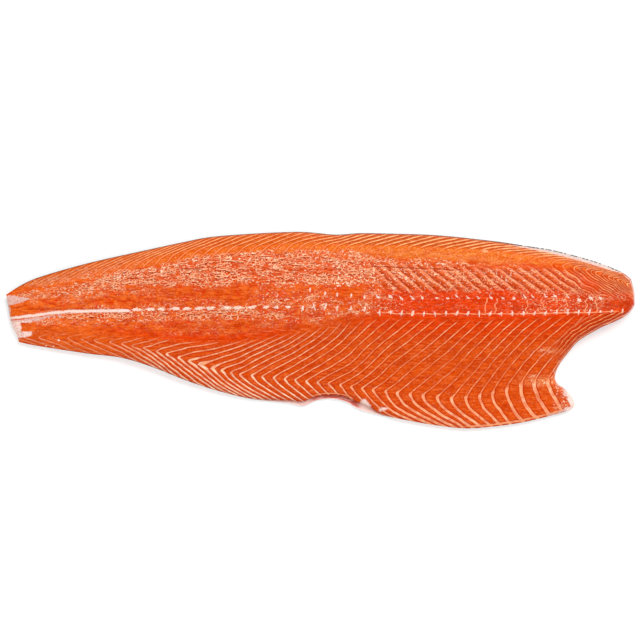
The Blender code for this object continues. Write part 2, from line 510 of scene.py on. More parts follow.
def closed_slab(name, upper, lower, lower_rows, full_columns=1):
    """A closed mesh between two sheets of points. The lower keeps these rows, and all at its ends."""
    last_i, last_j = upper.shape[0] - 1, upper.shape[1] - 1
    top = np.arange(upper.shape[0] * upper.shape[1]).reshape(upper.shape[:2])
    kept = np.zeros(top.shape, bool)
    kept[:, list(lower_rows)] = True
    kept[:full_columns] = kept[-full_columns:] = True
    under = np.full(top.shape, -1)
    under[kept] = top.size + np.arange(kept.sum())
    points = np.vstack([upper.reshape(-1, 3), lower[kept]])
    faces = [
        (top[i, j], top[i, j + 1], top[i + 1, j + 1], top[i + 1, j])
        for i in range(last_i) for j in range(last_j)
    ]
    for i in range(last_i):
        rows = range(last_j + 1) if kept[i].all() and kept[i + 1].all() else lower_rows
        for first, second in zip(rows, rows[1:]):
            left = [point for point in under[i, first:second + 1] if point >= 0]
            right = [point for point in under[i + 1, first:second + 1] if point >= 0]
            faces.append([*right, *reversed(left)])
    ring = (
        [(i, 0) for i in range(last_i)] + [(last_i, j) for j in range(last_j)]
        + [(i, last_j) for i in range(last_i, 0, -1)] + [(0, j) for j in range(last_j, 0, -1)]
    )
    for a, b in zip(ring, ring[1:] + ring[:1]):
        faces.append((top[a], top[b], under[b], under[a]))
    mesh = bpy.data.meshes.new(name)
    mesh.from_pydata(points.tolist(), [], [list(map(int, face)) for face in faces])
    bm = bmesh.new()
    bm.from_mesh(mesh)
    bmesh.ops.recalc_face_normals(bm, faces=list(bm.faces))
    open_edges = sum(not edge.is_manifold for edge in bm.edges)
    bm.to_mesh(mesh)
    bm.free()
    mesh.shade_smooth()
    print(name, len(mesh.polygons), "faces,", open_edges, "open edges")
    return mesh, kept


def store(mesh, name, values, kept):
    """Keeps one number for each point of the slab: the upper sheet's, then the lower sheet's."""
    field = mesh.attributes.new(name, "FLOAT", "POINT")
    field.data.foreach_set("value", np.concatenate([values.ravel(), values[kept]]).astype(np.float32))


def new_piece(name, mesh, slot, *materials):
    """An object that stands for the solid, with these materials, attached to the root. The slot is not
    used.
    """
    piece = bpy.data.objects.new(name, mesh)
    bpy.context.scene.collection.objects.link(piece)
    for material in materials:
        mesh.materials.append(material)
    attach(piece, "root")
    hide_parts("salmon_fillet")
    return piece


ALONG_CELLS = 520
ACROSS_CELLS = 160
flesh_along = grid_shares(ALONG_CELLS, 8, 0.0117)
flesh_across = grid_shares(ACROSS_CELLS, 10, 0.047)
x, y = stretch_grid(flesh_edges, flesh_along, flesh_across)
under = underside_height(x.ravel(), y.ravel(), cad_edges).reshape(x.shape)
top, rim = top_height(x.ravel(), y.ravel(), under.ravel(), flesh_edges)
top, rim = top.reshape(x.shape), rim.reshape(x.shape)
print("flesh grid", x.shape, "highest", round(top.max(), 2), "mm")

# %% [markdown]
# ## Where the seams run
# Salmon muscle is a stack of thin cones, one for each vertebra, parted by pale sheets of fat. The
# knife cuts across them, so the flesh side shows a row of nested zigzags. All of them follow one
# field: a number that grows by one from each seam to the next. Wherever it is whole, there is a
# seam. The field is read on a few lines that run along the fish, called rails here, and is blended
# between them. So forty seams take a few short tables, and no seam is drawn by hand.

# %% Rails along the fish, and where the seams cross them, in mm
BELLY_TOP = [
    (-300, 1), (-249, -1), (-211, -3.5), (-163, -7), (-115, -10.5), (-86, -10.5), (-58, -7.5),
    (-29, -3), (-10, 1), (9, 5), (28, 8.5), (52, 11.5), (76, 13), (114, 14.5), (171, 15.5), (229, 15),
    (267, 15), (300, 18),
]
BELLY_KINK = [
    (-300, -6), (-242, -7), (-202, -10.5), (-169, -16), (-136, -25), (-104, -35.5), (-76, -41.5),
    (-44, -44.5), (-13, -48), (18, -51.5), (49, -56), (86, -60), (125, -63.5), (151, -61.5),
    (164, -58.5), (191, -50), (226, -46),
]
BELLY_LOW = [
    (-300, -9), (-268, -15), (-222, -22), (-190, -26), (-160, -35), (-130, -47), (-100, -57),
    (-68, -66), (-32, -71), (0, -74), (42, -80), (84, -86), (138, -93.4), (191, -88), (243, -73),
]
# (seam number, where it crosses) on the top rail, half-way down, on the kinks, half-way again and on
# the edge.
SEAMS_AT_TOP = [
    (0, -222), (3, -182), (6, -142), (9, -72), (12, -31), (15, 0), (18, 28), (21, 66), (24, 102),
    (27, 137), (30, 169), (33, 201), (36, 232), (38, 251), (40, 267), (42, 282),
]
SEAMS_BETWEEN = [
    (0, -234), (3, -193.5), (6, -158), (9, -119), (12, -77), (15, -46), (18, -10), (21, 28), (25, 67),
    (27, 91), (30, 128.5), (33, 161.5), (36, 195), (38, 218), (40, 241),
]
SEAMS_AT_KINK = [
    (0, -242), (3, -201.5), (6, -168.5), (9, -135.5), (12, -103.5), (15, -76), (18, -44.5), (21, -13),
    (24, 18), (27, 49), (30, 86), (33, 125), (36, 164), (38, 191), (40, 215.5),
]
SEAMS_BELOW = [
    (0, -224), (3, -180), (6, -146.5), (9, -114), (12, -88.5), (15, -59.5), (18, -29), (21, 0.5),
    (24, 30), (26, 51), (28, 71), (30, 97), (33, 134), (36, 168), (38, 194), (40, 222.5),
]
SEAMS_AT_EDGE = [
    (0, -203), (3, -155), (6, -124.5), (9, -84.5), (12, -56), (15, -31), (18, -8), (21, 16), (24, 48),
    (26, 75), (28, 103), (30, 128.5), (33, 153), (36, 181), (38, 207), (40, 231),
]
# The loin's seams bend at a rail near its crest and lean away from it on both sides.
LOIN_BEND = [
    (-300, 40), (-249, 45), (-211, 51.5), (-172, 59), (-134, 65), (-96, 69), (-58, 70.5), (-20, 70.5),
    (28, 69.5), (76, 68), (124, 66), (171, 64), (219, 63), (238, 60), (257, 56.5), (277, 51.5),
    (300, 40),
]
LOIN_HIGH = [
    (-300, 36), (-249, 48.5), (-211, 58), (-182, 64.5), (-134, 75), (-115, 78), (-20, 83), (76, 80.5),
    (171, 76), (229, 68), (267, 58), (300, 44),
]
MARKS_HEIGHT = 31.5      # the upper row of bone marks, where the loin's seams end
SEAMS_AT_BEND = [(-8, -278.5), (0, -191.5), (11, -72), (24, 73), (37, 218), (41, 259.5), (43, 278.5)]
LEAN_TO_HIGH = 11.0      # mm that a seam runs towards the head from the bend up to the high rail ...
# ... on to the back edge, and down to the bone marks.
LEAN_TO_BACK = [
    (-300, 34), (-250, 40), (-200, 48), (-163, 52), (-115, 51), (-77, 45), (-20, 45), (28, 49),
    (57, 47), (124, 49), (171, 49), (219, 43), (257, 36), (300, 30),
]
LEAN_TO_MARKS = [(-300, 34), (30, 42), (200, 42), (257, 44), (300, 44)]
# Upper edge of the torn band.
TORN_TOP = [
    (-300, 33), (-249, 43), (-211, 51), (-190, 57), (-163, 61), (-130, 68), (-105, 72), (-77, 75),
    (-20, 77), (30, 76.5), (52, 71), (76, 69), (124, 67), (171, 62), (219, 60), (300, 40),
]


def crossing(seams):
    """A function that gives the seam number at x on a rail."""
    return table([(place, number) for number, place in seams])


def through(low_value, middle_value, high_value, share):
    """A smooth bow through three values: at share 0, at one half and at 1."""
    return (
        low_value * (2 * share - 1) * (share - 1)
        + middle_value * 4 * share * (1 - share)
        + high_value * share * (2 * share - 1)
    )


belly_top, belly_kink, belly_low = table(BELLY_TOP), table(BELLY_KINK), table(BELLY_LOW)
loin_bend, loin_high, torn_top = table(LOIN_BEND), table(LOIN_HIGH), table(TORN_TOP)
at_top, between, at_kink = crossing(SEAMS_AT_TOP), crossing(SEAMS_BETWEEN), crossing(SEAMS_AT_KINK)
below, at_edge, at_bend = crossing(SEAMS_BELOW), crossing(SEAMS_AT_EDGE), crossing(SEAMS_AT_BEND)


def belly_field(x, y):
    """The belly's seam number at each place."""
    kink = belly_kink(x)
    up = np.clip((y - kink) / (belly_top(x) - kink), 0, 1.3)
    down = np.clip((kink - y) / (kink - belly_low(x)), 0, 1.2)
    upper = through(at_kink(x), between(x), at_top(x), up)
    lower = through(at_kink(x), below(x), at_edge(x), down)
    return np.where(y >= kink, upper, lower)


def loin_field(x, y):
    """The loin's seam number at each place."""
    bend, high_rail, back = loin_bend(x), loin_high(x), back_edge(x)
    to_high = np.clip((y - bend) / (high_rail - bend), 0, 1)
    to_back = np.clip((y - high_rail) / (back - high_rail), 0, 1.3)
    to_marks = np.clip((bend - y) / (bend - MARKS_HEIGHT), 0, 1.3)
    lean = LEAN_TO_HIGH * to_high + (at_place(LEAN_TO_BACK, x) - LEAN_TO_HIGH) * to_back
    return at_bend(x - lean - at_place(LEAN_TO_MARKS, x) * to_marks)


print("belly seams", round(float(at_kink(-290.0))), "to", round(float(at_kink(235.0))))

# %% [markdown]
# Two touches make drawn seams look grown. Soft noise pushes each one a little out of its path. And
# where a seam turns, the field is averaged over a small window, which rounds the corner. The
# field's slope is kept as well: it tells the material how many seams there are in a millimetre, so
# that a line can have its width in real units.

# %% Blur, wobble and slope of the fields


def soft_noise(x, y, cell, seed):
    """Smooth random hills between -1 and 1, each about cell mm along and across."""
    heights = np.random.default_rng(seed).uniform(-1, 1, (256, 256))
    u, v = x / cell[0] + 500, y / cell[1] + 500
    i, j = np.floor(u).astype(int), np.floor(v).astype(int)
    fu, fv = smoothstep(u - i, 0, 1), smoothstep(v - j, 0, 1)
    i, j, i2, j2 = i % 256, j % 256, (i + 1) % 256, (j + 1) % 256
    left = heights[i, j] * (1 - fv) + heights[i, j2] * fv
    right = heights[i2, j] * (1 - fv) + heights[i2, j2] * fv
    return left * (1 - fu) + right * fu


def averaged(field, x, y, reach):
    """The field, averaged over a window that runs reach mm up and down."""
    steps = np.linspace(-1, 1, 5)
    return sum(field(x, y + step * reach) for step in steps) / len(steps)


def slope_of(field, x, y):
    """How fast the field changes, in seams for each mm."""
    step = 0.5
    along = (field(x + step, y) - field(x - step, y)) / (2 * step)
    across = (field(x, y + step) - field(x, y - step)) / (2 * step)
    return np.hypot(along, across)


def belly_seams(x, y):
    uneven = 1 - smoothstep(x, -150, -50)
    wobble = (0.10 + 0.12 * uneven) * soft_noise(x, y, (34, 16), 1)
    wobble = wobble + (0.045 + 0.10 * uneven) * soft_noise(x, y, (9, 5), 2)
    reach = 0.8 + 3.2 * smoothstep(x, 130, 185)
    return averaged(belly_field, x, y, reach) + wobble


def loin_seams(x, y):
    wobble = 0.12 * soft_noise(x, y, (40, 14), 3) + 0.06 * soft_noise(x, y, (9, 4), 4)
    wobble = wobble + 0.22 * soft_noise(x, y, (8, 6), 15) * smoothstep(x, 200, 250)
    return averaged(loin_field, x, y, 2.0) + wobble


belly_number = belly_seams(x, y)
loin_number = loin_seams(x, y)
belly_slope = slope_of(belly_seams, x, y)
loin_slope = slope_of(loin_seams, x, y)
print("spacing of the seams, mm:", np.round(1 / np.percentile(belly_slope, [10, 50, 90]), 1))

# %% [markdown]
# ## Zones of the flesh
# The flesh isn't one surface. The belly shows clean seams. Between belly and loin lies a torn,
# grainy band, where the backbone and its ribs were lifted off. Towards the head the band turns
# into slanted ridges and a red channel between two rows of bone marks. Each zone is a mask from 0 to
# 1, made from its distance to the rails, and noise frays its border. The numbers beside x, y and rim
# are places and widths in mm.

# %% The rails at every place, and the borders between belly, loin and ridges
BONE_LINE = [(50, 17.5), (90, 16.0), (180, 16.0), (260, 17.5), (300, 19.5)]   # the lower row of bone marks

fray = soft_noise(x, y, (7, 3), 5) + 0.6 * soft_noise(x, y, (3, 1.6), 6)
patches = soft_noise(x, y, (26, 7), 12)
spine = spine_line(x)
bone_line = at_place(BONE_LINE, x)
bend, top_rail, kink, high_rail = loin_bend(x), belly_top(x), belly_kink(x), loin_high(x)

below_top = smoothstep(top_rail - y + 1.2 * fray, -1.5, 2.5)
above_bend = smoothstep(y - bend + 2.2 * fray, -2.5, 2.5)
lower_arm = smoothstep(kink - y, -2, 1.5)
ridge_part = smoothstep(x + 0.9 * (y - 50) + 6 * fray, 36, 70)
tail = smoothstep(x, -140, -235)
print("the loin above its bend covers", round(100 * (above_bend > 0.5).mean()), "% of the flesh")

# %% [markdown]
# The torn band is roughest in its upper part. It thins out towards the tail and under the ridges. A
# little of the same web lies beside the strip of the backbone, round the first stars, in the channel
# and at the nose.

# %% The torn band
TORN_FLOOR = [(-300, 22), (-249, 30), (-211, 36), (-163, 41), (-130, 43)]    # lower edge of its rough part

torn_floor = at_place(TORN_FLOOR, x)
is_high = smoothstep(y + 4 * fray, torn_floor - 2, torn_floor + 7)
torn_high = smoothstep(torn_top(x) - y + 3.0 * fray, -1.5, 2.5) * is_high
torn_low = smoothstep(y - top_rail + 2 * fray, 2, 9) * (1 - is_high) * smoothstep(x, -290, -260)
torn_ends = (0.7 + 0.3 * smoothstep(x, -255, -195)) * smoothstep(x, -298, -284)
torn = (0.95 + 0.25 * patches) * torn_high * torn_ends + (0.26 + 0.34 * patches) * torn_low
torn = torn * (1 - ridge_part * (0.45 + 0.35 * smoothstep(y, 63, 59))) * smoothstep(x, 245, 150)
torn = torn * (1 - 0.6 * near(y, spine - 20, 7) * smoothstep(x, 20, -40))
torn = torn + 0.40 * near(y, spine - 5, 5) * smoothstep(x, -285, -265) * smoothstep(x, 30, -100)
torn = np.maximum(torn, (0.55 + 0.30 * patches) * tail * above_bend * smoothstep(rim, 1, 4))
torn = torn + 0.35 * smoothstep(x, 262, 282) * smoothstep(y, 28, 33) * smoothstep(y, 46, 38)
torn = np.clip(torn + 0.30 * near(x, 34, 36) * near(y, 25, 7), 0, 1.1)

mottled = torn_low * smoothstep(x, 90, 0)
# A row of painted glints, just under the torn band's upper edge.
glint_row = near(y + fray, torn_top(x) - 4, 4.5) * smoothstep(x, -270, -200) * smoothstep(x, -50, -75)
glint_row = np.maximum(glint_row, near(x, 34, 38) * near(y + fray, 50, 13))
combed = np.where(y > spine, 20 + 45 * (y - spine) / (bend - spine), 20 + y - spine)
print("torn band covers", round(100 * (torn > 0.4).mean()), "% of the flesh")

# %% [markdown]
# The rest of the zones are darker or paler ground: the channel with the ridges above it, a crease
# under the torn band darkened with painted shade, the shaded flesh below the backbone's line, a calm
# band along the loin, and the collar's cut, which shows the seams edge on.

# %% Ridges, channel and ground
bare_patch = near(x + 0.6 * y, 278, 14) * near(y + fray, 44, 9)
ridges = ridge_part * smoothstep(x, 262, 236) * smoothstep(y + 2 * fray, 35, 41)
ridges = ridges * smoothstep(bend - y + fray, 3, 8)
channel = smoothstep(x, 40, 70) * smoothstep(y + 2 * fray, 43, 37)
channel = channel * smoothstep(y + 0.8 * fray, spine - 4, spine + 1)
head_channel = channel * smoothstep(x, 225, 258) * smoothstep(y, 36, 31)
torn = torn + 0.22 * channel * smoothstep(x, 165, 215) * smoothstep(x, 285, 255)

# Painted shade in the crease under the torn band; the relief sinks it as well.
shaded_crease = near(y, top_rail + 4.5, 5.5) * smoothstep(x, -235, -190) * smoothstep(x, 0, -60)
below_spine = smoothstep(y, spine - 34, spine - 8) * (y < spine + 2) * smoothstep(x, 0, 70)
below_spine = np.maximum(below_spine, bare_patch)
deep = np.maximum.reduce([channel, below_spine, 0.8 * shaded_crease])
calm = near(x, 120, 110) * smoothstep(high_rail - y, -1, 2)
stripes = smoothstep(y - high_rail + fray, -1.5, 2) * (0.6 + 0.4 * smoothstep(x, -30, 60))
nose = smoothstep(x, 225, 255) * smoothstep(y, 33, 38) * (1 - 0.75 * bare_patch)
collar = smoothstep(y, -40, -10) * smoothstep(x, 205, 235) * smoothstep(rim, 21, 9) * (y < bone_line - 1)
collar = collar * smoothstep(x, 300.5, 296.5)
print("ridges cover", round(100 * (ridges > 0.5).mean(), 1), "% of the flesh")

# %% [markdown]
# A seam isn't equally strong all along. It fades into the torn band, thickens below its kink, and
# is broadest at the belly's tip. So each family of seams has a mask for its strength and one for
# its width.

# %% How strong and how wide the seams are
faint = near(y, -36, 18) * smoothstep(x, 40, 110) * smoothstep(x, 200, 170)
belly_line = below_top * (0.3 + 0.7 * smoothstep(top_rail - y, -1, 7))
belly_line = belly_line * (1 - 0.50 * smoothstep(x, -130, -240)) * (1 - 0.45 * faint * (1 - lower_arm))
belly_line = belly_line * (1 - smoothstep(x, 20, 60) * smoothstep(y - spine, -8, -3)) * (1 - 0.85 * collar)
low_width = 0.25 + 1.05 * smoothstep(x, 40, 100) + 0.9 * smoothstep(x, 165, 200)
belly_width = 0.85 + 0.15 * smoothstep(x, -20, -90) + lower_arm * low_width
belly_width = belly_width + 0.9 * near(y, kink - 1, 2.2) * smoothstep(x, -190, -120)
belly_width = belly_width + 2.4 * near(y, kink + 1.5, 3.5) * near(x, -109, 12)

loin_line = above_bend * (1 - 0.75 * calm) * (1 - 0.3 * tail)
loin_line = loin_line + 0.8 * (1 - above_bend) * smoothstep(y, 31, 36) * smoothstep(x, 195, 240)
loin_line = loin_line * (1 - 0.6 * bare_patch)
loin_width = 0.75 + 0.25 * stripes * smoothstep(x, 0, 60) + 0.2 * ridges
white_seams = (0.45 + 0.55 * lower_arm) * smoothstep(x, -200, -140) * smoothstep(x, 30, -30)
print("belly seams are", np.round(np.percentile(belly_width, [5, 95]), 1), "mm wide")

# %% [markdown]
# Thin threads of fat run lengthwise, and a few scores were left by the knife. Short ribs of fat cross
# the channel between the two rows of bone marks, and a pale line edges the notch and the belly's tip.

# %% Threads, ribs and scores
RIBS = (158, 167, 198, 209, 226, 234, 252, 263)      # where a rib crosses the channel, in mm
CRACK = [(57, 61.0), (114, 58.4), (148, 56.3)]       # a long score over the ridges ...
CRACK_EDGE = [(57, 59.2), (114, 56.6), (148, 54.5)]  # ... and the pale line under it


def thread(height, start, end, width):
    """A thin line along the fish between two places, 1 on the line."""
    ends = smoothstep(x, start - 4, start + 4) * smoothstep(x, end + 4, end - 4)
    return near(y + 0.5 * soft_noise(x, y, (12, 40), 13), height, width) * ends


def rib(middle):
    """A thin winding line across the channel, 1 on the line."""
    swing = 3.6 * soft_noise(x * 0 + middle, y, (9, 4), 14)
    return near(x + swing, middle, 0.7) * (y > bone_line) * (y < 31)


threads = np.maximum.reduce([
    thread(bone_line, 52, 284, 0.6),
    0.6 * thread(29.8 + 1.5 * fray, -150, -100, 0.7),
    0.6 * thread(6.8 + 1.5 * fray, -136, -82, 0.7),
    0.75 * thread(at_place(CRACK_EDGE, x) + 0.3 * fray, 45, 150, 0.7),
    0.6 * thread(1.5 + 0.03 * x, -60, -10, 0.6),
    *[rib(middle) for middle in RIBS],
    near(rim, 1.2, 0.6) * smoothstep(x, -10, -4) * smoothstep(x, 36, 28) * (y < -40),
    near(rim + 0.3 * fray, 1.8, 1.1) * smoothstep(x, 110, 160) * (y < -60),
    near(x, 156, 4.4) * near(y + 0.4 * fray, 75.4, 1.6),
])
scores = np.maximum.reduce([
    thread(at_place(CRACK, x), 45, 135, 0.8),
    thread(49.8, -184, -172, 0.8),
    thread(59.0, -135, -112, 0.8),
    0.7 * thread(20.5, -285, -200, 0.7),
])
print("threads:", round(100 * float(threads.mean()), 2), "% of the flesh")

# %% [markdown]
# White tissue shows in a few places: the sheet over the tail's cut end, the strip where the
# backbone lay, and the fatty rim at the belly's tip, the notch, the nose and the back. They are
# masks too.

# %% White sheets at the tail, and the strip of the backbone
# Each sheet: how white it is, and its corners, clockwise.
TAIL_SHEETS = [
    (0.60, [(-302, 34), (-287, 33), (-273, 29.3), (-287, 26.2), (-297, 22.6), (-302, 24)]),
    (0.85, [(-300, 9), (-285.5, 9), (-285.5, -7), (-300, -7)]),
    (0.75, [(-288, 9.8), (-275, 9.6), (-275, 7.4), (-288, 7.4)]),
    (0.85, [(-290, -1), (-275, -1), (-276, -5), (-283, -7), (-292, -7.5)]),
    (0.62, [(-302, 30), (-297.2, 30), (-295.2, 8), (-302, 8)]),
]
STRIP_MIDDLE = [
    (-297, 11.7), (-287, 13.0), (-273, 14.5), (-258, 16.7), (-239, 18.4), (-211, 18.8), (-182, 19.3),
]
STRIP_WIDTH = [(-300, 1.3), (-285, 1.3), (-250, 1.5), (-182, 1.4)]


def inside(x, y, corners, softness=0.8):
    """1 inside a shape with these corners, listed clockwise, and 0 outside."""
    share = 1.0
    for (ax, ay), (bx, by) in zip(corners, corners[1:] + corners[:1]):
        length = math.hypot(bx - ax, by - ay)
        depth = ((x - ax) * (by - ay) - (y - ay) * (bx - ax)) / length
        share = share * smoothstep(depth, -softness, softness)
    return share


strip = near(y + 0.35 * fray, at_place(STRIP_MIDDLE, x), at_place(STRIP_WIDTH, x))
strip = strip * smoothstep(x, -179, -184)
under_strip = near(y + 0.5 * fray, at_place(STRIP_MIDDLE, x) - 3.8, 3.0)
under_strip = under_strip * (1 - 0.4 * smoothstep(x, -270, -250)) * smoothstep(x, -205, -250)
sheets = [share * inside(x + fray, y + 0.6 * fray, corners) for share, corners in TAIL_SHEETS]
white_parts = [*sheets, 1.3 * strip, 0.62 * under_strip]
print(len(white_parts), "white parts at the tail")

# %% Fat round the rim, the haze at the belly's tip, and painted light at the head's cut


def rim_fat(share, reach, roughness, softness):
    """A ragged band of fat along the rim, reach mm wide."""
    return share * smoothstep(reach + roughness * fray - rim, 0, softness)


tip = smoothstep(x, 200, 228) * smoothstep(y, -42, -56)
back_part = smoothstep(x + 9 * fray, 160, 205) * smoothstep(x, 292, 284) * (y > 45)
white_parts += [
    rim_fat(1.1, 6, 2.5, 3) * tip * smoothstep(x, 226, 238),
    rim_fat(0.62, 3.5, 2, 2) * smoothstep(x, 205, 222) * smoothstep(y, -60, -70),
    rim_fat(0.6, 2.5, 2, 2) * near(y, -47, 12) * smoothstep(x, 200, 215),
    rim_fat(1.15, 3.0, 3.0, 2) * near(x, 43, 5.5) * (y < -40),
    1.15 * near(x + fray, 60, 4.5) * near(y + fray, -75, 1.5),
    0.75 * near(rim + 0.3 * fray, 1.3, 0.8) * smoothstep(x, 284, 292) * smoothstep(y, 8, 14),
    0.75 * smoothstep(rim, 1.7, 0.6) * back_part,
]
fat = np.maximum.reduce(white_parts)
tip_grain = smoothstep(x, 218, 228) * smoothstep(y, -48, -54)
haze_and_rim_light = np.maximum.reduce([
    near(x, 212, 18) * near(y + 0.8 * fray, -47.5, 5.0),
    # Painted light: a paler band along the rim of the head's cut.
    smoothstep(rim + fray, 4.5, 1.5) * smoothstep(x, 218, 226) * near(y, -28, 24),
    0.8 * near(x, 216, 12) * near(y + fray, -18.5, 2.2),
])
print("white tissue covers", round(100 * (fat > 0.5).mean(), 1), "% of the flesh")

# %% [markdown]
# ## Relief
# Between two seams the muscle swells a little, and at the seam it dips. The torn band is rough, the
# ridges stand up, and the channel between the bone marks is sunk. All of it is real shape: heights
# of a few tenths of a millimetre, added to the fine grid. Finer grain than the grid can hold comes
# later, as bump in the material.

# %% Add the relief to the upper sheet


def swell(number):
    """1 half-way between two seams, 0 on a seam."""
    part = number - np.floor(number)
    return 1 - (2 * part - 1) ** 4


SEAM_DEPTH = 0.45        # mm from a seam up to the muscle half-way to the next
TORN_DEPTH = 0.9         # mm from the torn band's hollows to its lumps, or so
RIDGE_DEPTH = 0.8        # mm from a gap up to its ridge
CHANNEL_DEPTH = 0.9      # mm
lumps = 0.6 * soft_noise(x, y, (4.5, 2.6), 7) + 0.5 * soft_noise(x, y, (2.6, 1.9), 8)
ridge_wave = 0.5 - 0.5 * np.cos(2 * math.pi * (loin_number - 0.35))
away_from_rim = smoothstep(rim, 0.5, 5)
relief = SEAM_DEPTH * (swell(belly_number) - 0.5) * belly_line
relief = relief + 0.8 * SEAM_DEPTH * (swell(loin_number) - 0.5) * loin_line
relief = relief + TORN_DEPTH * lumps * torn
relief = relief + RIDGE_DEPTH * (ridge_wave - 0.5) * ridges
relief = relief - CHANNEL_DEPTH * channel
relief = relief - 0.8 * shaded_crease + 0.5 * strip + 0.25 * threads
relief = relief + 0.25 * soft_noise(x, y, (18, 11), 9)
flesh_top = top + relief * away_from_rim
flesh_bottom = under + 0.5 * SKIN_THICKNESS
print("relief runs from", round(relief.min(), 2), "to", round(relief.max(), 2), "mm")

# %% Build the flesh
FLESH_ROWS_BELOW = [0, 12, 24, 48, 80, 112, 136, 148, 160]
flesh_mesh, kept = closed_slab(
    "fillet_flesh", to_world(x, y, flesh_top), to_world(x, y, flesh_bottom), FLESH_ROWS_BELOW, 18
)
FIELDS = {
    "belly_number": belly_number, "belly_slope": belly_slope, "belly_line": belly_line,
    "belly_width": belly_width, "loin_number": loin_number, "loin_slope": loin_slope,
    "loin_line": loin_line, "loin_width": loin_width, "torn": torn, "mottled": mottled,
    "ridges": ridges, "channel": channel, "shaded_crease": shaded_crease, "below_spine": below_spine, "fat": fat,
    "collar": collar, "threads": threads, "lower_arm": lower_arm * below_top,
    "above_bend": above_bend, "rim": rim, "combed": combed, "stripes": stripes, "scores": scores,
    "white_seams": white_seams, "nose": nose, "tip_grain": tip_grain, "glint_row": glint_row,
    "tail": tail, "deep": deep, "haze_and_rim_light": haze_and_rim_light, "calm": calm * above_bend, "head_channel": head_channel,
}
for name, values in FIELDS.items():
    store(flesh_mesh, name, values, kept)
print(len(FIELDS), "fields stored on the flesh")

# %% [markdown]
# ## Seam lines as a node group
# Belly and loin need the same drawing: a pale line of fat wherever the seam number is whole, and a
# line of painted shade beside it, where the muscle dips. So do the nose's finer seams and the layers
# in the collar's cut. All of them come from one group. It turns the distance to the nearest whole
# number into millimetres, and then into masks.

# %% The group that draws seams


def build_seam_group():
    group, given, made = new_group(
        "Seam lines",
        {"Number": 0.0, "Slope": 0.1, "Width": 1.0, "Ragged": 0.0},
        ["Line", "Shade", "Across"],
    )
    part = calc(group, "FRACT", calc(group, "ADD", given["Number"], 0.5))
    distance = calc(group, "DIVIDE", calc(group, "SUBTRACT", part, 0.5), given["Slope"])
    reach = calc(group, "ADD", calc(group, "ABSOLUTE", distance), given["Ragged"])
    half = calc(group, "MULTIPLY", given["Width"], 0.5)
    line = ramp(group, reach, calc(group, "ADD", half, 0.3), calc(group, "SUBTRACT", half, 0.2))
    # Painted shade: a darker band beside the line, where the muscle dips.
    beside = calc(group, "ABSOLUTE", calc(group, "SUBTRACT", distance, 0.3))
    shade = ramp(group, beside, calc(group, "ADD", half, 1.5), calc(group, "ADD", half, 0.5))
    group.links.new(line, made["Line"])
    group.links.new(shade, made["Shade"])
    group.links.new(part, made["Across"])
    return group


seam_group = build_seam_group()
print("group", seam_group.name, "has", len(seam_group.nodes), "nodes")

# %% [markdown]
# ## Moist grain as a node group
# Raw flesh and the wet side of the skin share a fine grain: short fibres that run along the fish, and
# beads of moisture. The group gives the fibres for the colour, and a height for the bump.

# %% The group for moist grain


def build_grain_group():
    group, given, made = new_group(
        "Moist grain", {"Place": (0.0, 0.0, 0.0), "Fibre": 1.0}, ["Fibres", "Beads", "Height"]
    )
    fibres = noise(group, vector(group, "MULTIPLY", given["Place"], (0.2, 1.0, 0.5)), 1.5, 2.0, 0.4)
    beads = noise(group, given["Place"], 1.6, 2.0, 0.3)
    height = calc(group, "MULTIPLY_ADD", fibres, given["Fibre"], calc(group, "MULTIPLY", beads, 0.5))
    group.links.new(fibres, made["Fibres"])
    group.links.new(beads, made["Beads"])
    group.links.new(height, made["Height"])
    return group


grain_group = build_grain_group()
print("group", grain_group.name, "has", len(grain_group.nodes), "nodes")

# %% [markdown]
# ## Torn fibres as a node group
# Where bone was pulled away, the muscle is left as a web of thin pale threads round small red
# pockets, combed lengthwise. The walls of a foam of random cells draw such a web, once their places
# are bent by noise. The same foam, moved down by less than a millimetre, gives a painted shadow
# under each thread.

# %% The group for torn fibres
WEB_CELL = 3.6           # mm across one pocket of the web
WEB_BEND = 4.5           # mm across one bend of its threads
# WEB_SHADE sets how far below each thread its painted shadow lies.
WEB_SHADE = 0.85         # mm from a thread down to its dark edge


